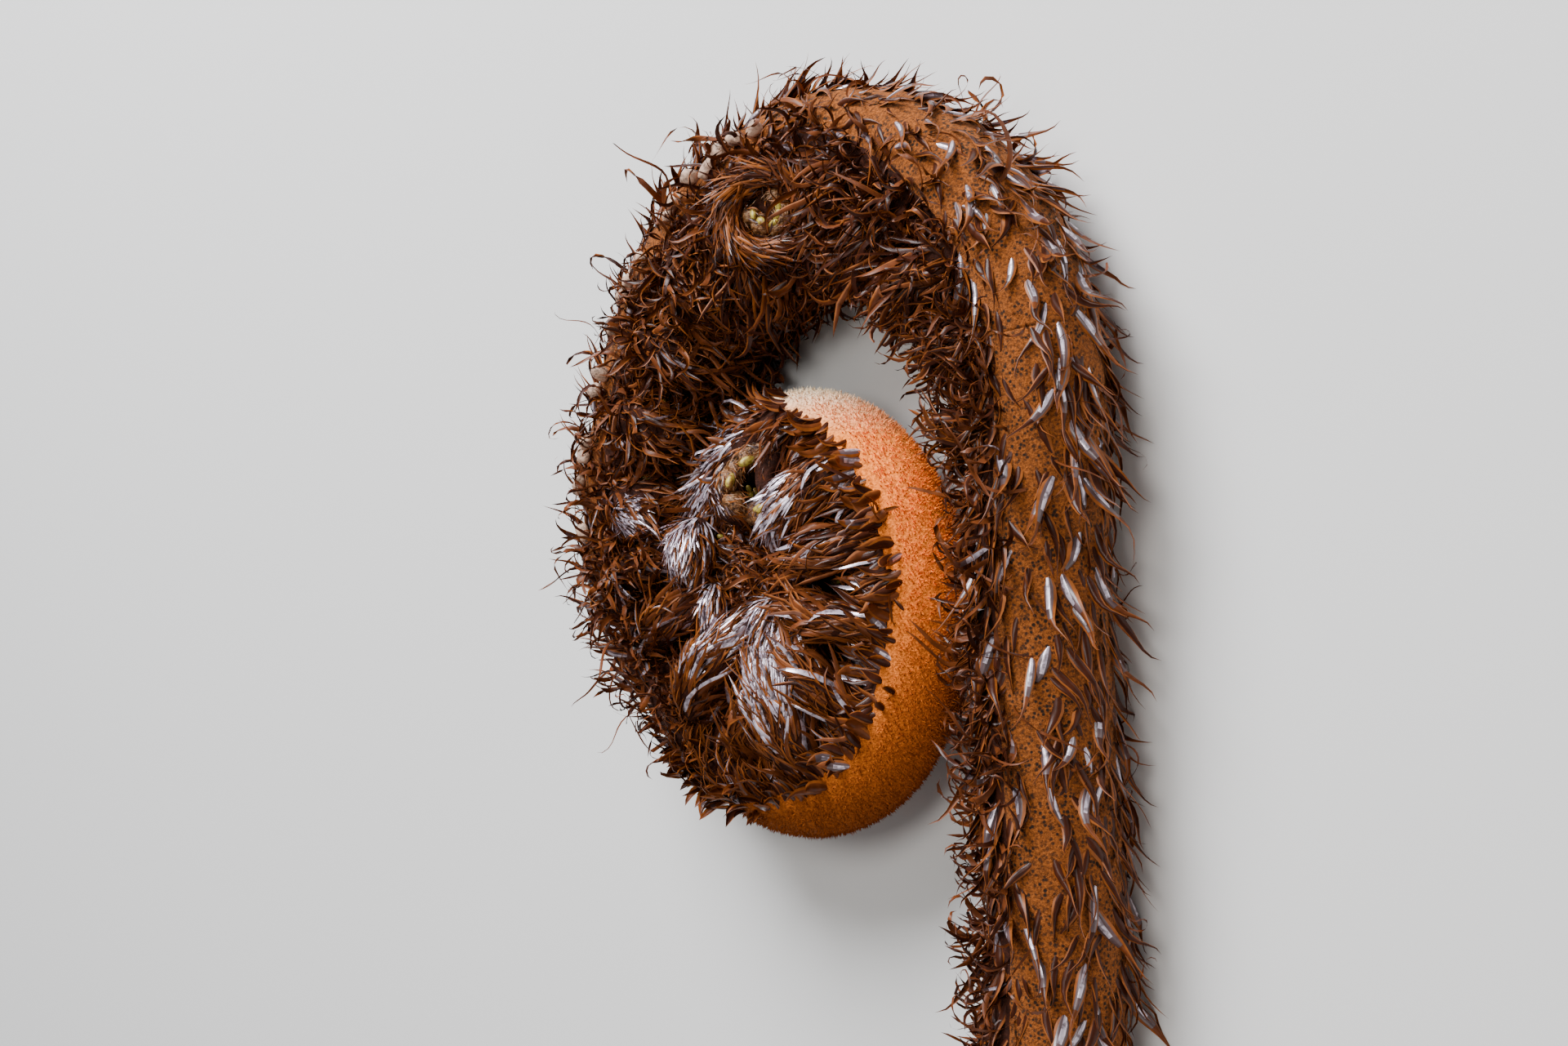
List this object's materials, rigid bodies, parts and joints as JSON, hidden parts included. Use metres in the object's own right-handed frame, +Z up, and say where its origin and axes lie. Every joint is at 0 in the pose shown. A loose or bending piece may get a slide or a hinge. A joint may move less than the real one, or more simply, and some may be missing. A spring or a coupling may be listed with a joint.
{
  "type": "tree fern crozier",
  "caption": "Uncoiling tip of a tree fern frond, cut and laid on its side: a scaly stalk arches over into a felted coil lined with curled young leaflets.",
  "frame": {"origin": "under the middle of the whole, on the level ground that it lies on", "axes": "+Y from the cut end along the stipe towards the arch, +X from the coil towards the stipe, +Z up, square to the plane of the coil"},
  "size_m": [0.177, 0.2334, 0.05],
  "materials": {
    "stalk": "matt brown felt with dark specks under glossy papery scales",
    "felt": "matt, finely granular orange felt",
    "pinna": "silky brown scales and hairs with a silvery sheen"
  },
  "bodies": {
    "root": {"arch_crown": "stalk", "arch_fall": "stalk", "arch_rise": "stalk", "arm_lower": "stalk", "arm_upper": "stalk", "coil_band_high": "felt", "coil_band_low": "felt", "coil_brow": "felt", "coil_heart": "felt", "coil_heel": "felt", "coil_sole": "felt", "pinna_lower_01": "pinna", "pinna_lower_02": "pinna", "pinna_lower_03": "pinna", "pinna_lower_04": "pinna", "pinna_lower_05": "pinna", "pinna_lower_06": "pinna", "pinna_lower_07": "pinna", "pinna_lower_08": "pinna", "pinna_lower_09": "pinna", "pinna_lower_10": "pinna", "pinna_lower_11": "pinna", "pinna_lower_12": "pinna", "pinna_lower_13": "pinna", "pinna_lower_14": "pinna", "pinna_lower_15": "pinna", "pinna_lower_16": "pinna", "pinna_lower_17": "pinna", "pinna_lower_18": "pinna", "pinna_lower_19": "pinna", "pinna_lower_20": "pinna", "pinna_lower_21": "pinna", "pinna_lower_22": "pinna", "pinna_lower_23": "pinna", "pinna_upper_01": "pinna", "pinna_upper_02": "pinna", "pinna_upper_03": "pinna", "pinna_upper_04": "pinna", "pinna_upper_05": "pinna", "pinna_upper_06": "pinna", "pinna_upper_07": "pinna", "pinna_upper_08": "pinna", "pinna_upper_09": "pinna", "pinna_upper_10": "pinna", "pinna_upper_11": "pinna", "pinna_upper_12": "pinna", "pinna_upper_13": "pinna", "pinna_upper_14": "pinna", "pinna_upper_15": "pinna", "pinna_upper_16": "pinna", "pinna_upper_17": "pinna", "pinna_upper_18": "pinna", "pinna_upper_19": "pinna", "pinna_upper_20": "pinna", "pinna_upper_21": "pinna", "pinna_upper_22": "pinna", "pinna_upper_23": "pinna", "stipe_foot": "stalk", "stipe_top": "stalk"}
  },
  "joints": []
}
